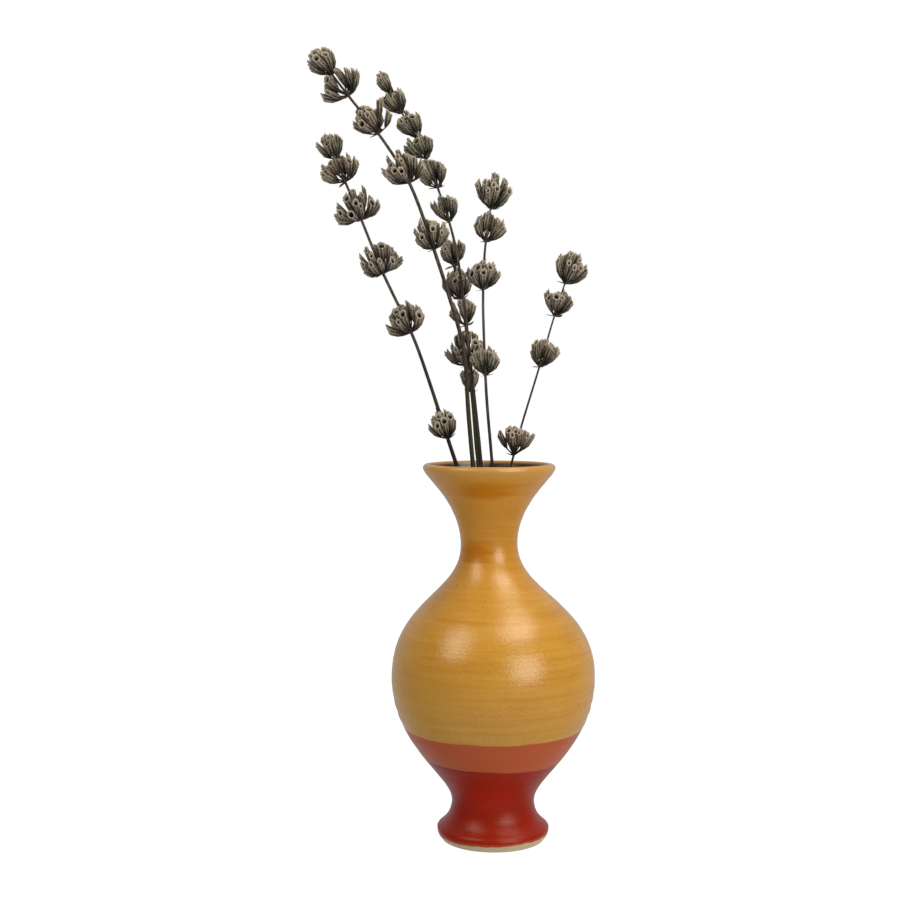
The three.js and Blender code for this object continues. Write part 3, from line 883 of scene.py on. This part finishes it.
    # papery bracts under the whorl
    leaves = add("ShaderNodeMath", {0: stored["leafy"], 1: given["bracts"]}, operation="MULTIPLY")
    leaves = add("GeometryNodeDuplicateElements", {"Geometry": given["Geometry"], "Amount": leaves},
        domain="POINT")
    order = leaves.outputs["Duplicate Index"]
    azimuth = add("ShaderNodeMath", {0: order, 1: 137.0, 2: stored["turn"]}, operation="MULTIPLY_ADD")
    azimuth = add("ShaderNodeMath", {0: azimuth}, operation="RADIANS")
    jitter = drawEach(add, given["seed"], (("droop", 0.95, 1.7, 11), ("scale", 0.45, 1.0, 12)))
    facing = base
    for axis, angle in (((0, 0, 1), azimuth), ((0, 1, 0), jitter["droop"]), ((0, 0, 1), math.pi / 2)):
        facing = turnAbout(add, facing, axis, angle)
    narrow = given["bractHalf"]
    size = add("ShaderNodeCombineXYZ", {"X": narrow, "Y": narrow, "Z": given["bractLength"]})
    size = add("ShaderNodeVectorMath", {0: size, "Scale": mm}, operation="SCALE")
    size = add("ShaderNodeVectorMath", {0: size, "Scale": jitter["scale"]}, operation="SCALE")
    husks = add("GeometryNodeInstanceOnPoints", {"Points": leaves, "Instance": patterns["bractKinds"],
        "Pick Instance": True, "Instance Index": order, "Rotation": facing, "Scale": size})

    joined = add("GeometryNodeJoinGeometry")
    for part in (tubes, stalks, husks):
        feed(joined, {0: part})
    endTree(add, joined, given["skin"])
    return tree


def driedCalyx():
    # air-dried lavender calyx: papery and felted, grey-brown, with paler ribs and painted shade in the
    # grooves between them, painted shade towards the stalk and down the throat, and a pale frayed mouth
    material, add, shader = newMaterial("airDriedCalyx")
    # across the ribs, and from the stalk to the mouth and down the throat
    chart = add("ShaderNodeUVMap", uv_map="ribs")
    across, along, _ = add("ShaderNodeSeparateXYZ", {0: chart}).outputs
    coords = add("ShaderNodeTexCoord").outputs["Object"]
    ribs = add("ShaderNodeMath", {0: across, 1: math.pi * calyx["sides"]}, operation="MULTIPLY")
    ribs = add("ShaderNodeMath", {0: ribs}, operation="COSINE")
    felt = add("ShaderNodeTexNoise", {"Vector": coords, "Scale": 2200.0, "Detail": 3.0})
    blotch = add("ShaderNodeTexNoise", {"Vector": coords, "Scale": 260.0, "Detail": 2.0})
    # the ribs pale the colour and the grooves between them darken it: paler veins and painted shade in the
    # grooves
    tone = add("ShaderNodeMath", {0: ribs, 1: 0.22, 2: felt}, operation="MULTIPLY_ADD")
    tone = add("ShaderNodeMix", {0: 0.35, 2: tone, 3: blotch})
    # painted shade: darker towards the stalk, where the calyces crowd together and shade one another
    baseShade = add("ShaderNodeMapRange", {"Value": along, "From Max": 0.65, "To Min": -0.28,
        "To Max": 0.04})
    tone = add("ShaderNodeMath", {0: tone, 1: baseShade}, operation="ADD")
    skins = []
    for name in ("dry", "olive"):
        skins.append(add("ShaderNodeValToRGB", {"Fac": tone}))
        colourRamp(skins[-1].color_ramp, (0.3, 0.5, 0.68), flowerColours[name])
    olive = add("ShaderNodeAttribute", attribute_name="olive").outputs["Fac"]
    colour = add("ShaderNodeMix", {0: olive, 6: skins[0], 7: skins[1]}, data_type="RGBA")
    # a pale rim at the mouth, then the throat painted near black as shade
    for low, high, amount, name in ((0.9, 0.99, 0.85, "rim"), (1.06, 1.16, 1.0, "inside")):
        share = add("ShaderNodeMapRange", {"Value": along, "From Min": low, "From Max": high,
            "To Max": amount})
        colour = add("ShaderNodeMix", {0: share, 6: colour, 7: flowerColours[name]}, data_type="RGBA")
    husk = add("ShaderNodeMix", {0: felt, 6: flowerColours["husk"][0], 7: flowerColours["husk"][1]},
        data_type="RGBA")
    isHusk = add("ShaderNodeMath", {0: along, 1: -0.05}, operation="LESS_THAN")
    colour = add("ShaderNodeMix", {0: isHusk, 6: colour, 7: husk}, data_type="RGBA")
    relief = add("ShaderNodeMath", {0: ribs, 1: 0.5, 2: felt}, operation="MULTIPLY_ADD")
    bump = add("ShaderNodeBump", {"Strength": 0.7, "Distance": 0.1 * mm, "Height": relief})
    feed(shader, {"Base Color": colour, "Roughness": 0.9, "Specular IOR Level": 0.25,
        "Sheen Weight": 0.15, "Normal": bump})
    return material


def whorlFacts(node, path):
    # where a whorl leaves the stem, which way it faces, how far it reaches and how tall it is
    low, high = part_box(node)
    centre = (low + high) / 2
    best = min(range(len(path) - 1), key=lambda i: ((path[i] + path[i + 1]) / 2 - centre).length)
    axis = (path[best + 1] - path[best]).normalized()
    start = path[best] + axis * (centre - path[best]).dot(axis)
    gaps = [v.co - start for v in frame["nodes"][node].data.vertices]
    along = [gap.dot(axis) for gap in gaps]
    across = [(gap - axis * a).length for gap, a in zip(gaps, along)]
    return start + axis * min(along), axis, max(across) / mm, (max(along) - min(along)) / mm


def buildFlowers():
    calyces = kindsOf("calyxKinds", [calyxShape(f"calyx_{name}", kind, seed)
                                     for seed, (name, kind) in enumerate(calyxKinds.items())])
    bracts = kindsOf("bractKinds", [bractShape(f"bract_{i}", curl, i)
                                    for i, curl in enumerate(bractCurls)])
    stalks = kindsOf("stalkKinds", [stalkShape("stalk")])
    tree, material = lavenderWhorlTree(), driedCalyx()
    for number, rows in whorls.items():
        spots = []
        for index, row in enumerate(rows):
            turn, count, extra, upright, fan = row + usualWhorl[len(row) - 2:]
            start, axis, reach, rise = whorlFacts(f"sprig_{number}_whorl_{index + 1}", stemPaths[number])
            axis = axis.lerp(Vector((0, 0, 1)), upright).normalized()
            reach *= fullness[number]
            spots.append((start, axis, reach, rise, turn, count, extra, 1, fan))
        for sprig, whorl, turn, reach, extra in loners:
            if sprig == number:
                start, axis, _, rise = spots[whorl - 1][:4]
                spots.append((start, axis, reach, rise, turn, 1, extra, 0, 0))
        piece = addPiece(f"lavender_{number}_flowers", [spot[0] for spot in spots])
        for column, (label, kind) in enumerate(whorlFields.items(), 2):
            values = [spot[column] for spot in spots]
            piece.data.attributes.new(label, kind, "POINT").data.foreach_set("value", values)
        axes = [part for spot in spots for part in spot[1]]
        piece.data.attributes.new("axis", "FLOAT_VECTOR", "POINT").data.foreach_set("vector", axes)
        runTree(tree, piece, {**flowerHead, "calyxKinds": calyces, "bractKinds": bracts,
            "stalkKinds": stalks, "oliveLow": oliveness[number][0], "oliveHigh": oliveness[number][1],
            "seed": number, "skin": material})
        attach(piece, f"sprig_{number}")
        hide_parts(*[f"sprig_{number}_whorl_{i + 1}" for i in range(len(rows))])
        print("sprig", number, "flowers:", len(piece.data.polygons), "faces")
    for group in (calyces, bracts, stalks):    # the patterns have done their work
        for shape in list(group.objects):
            bpy.data.objects.remove(shape)
        bpy.data.collections.remove(group)


buildFlowers()
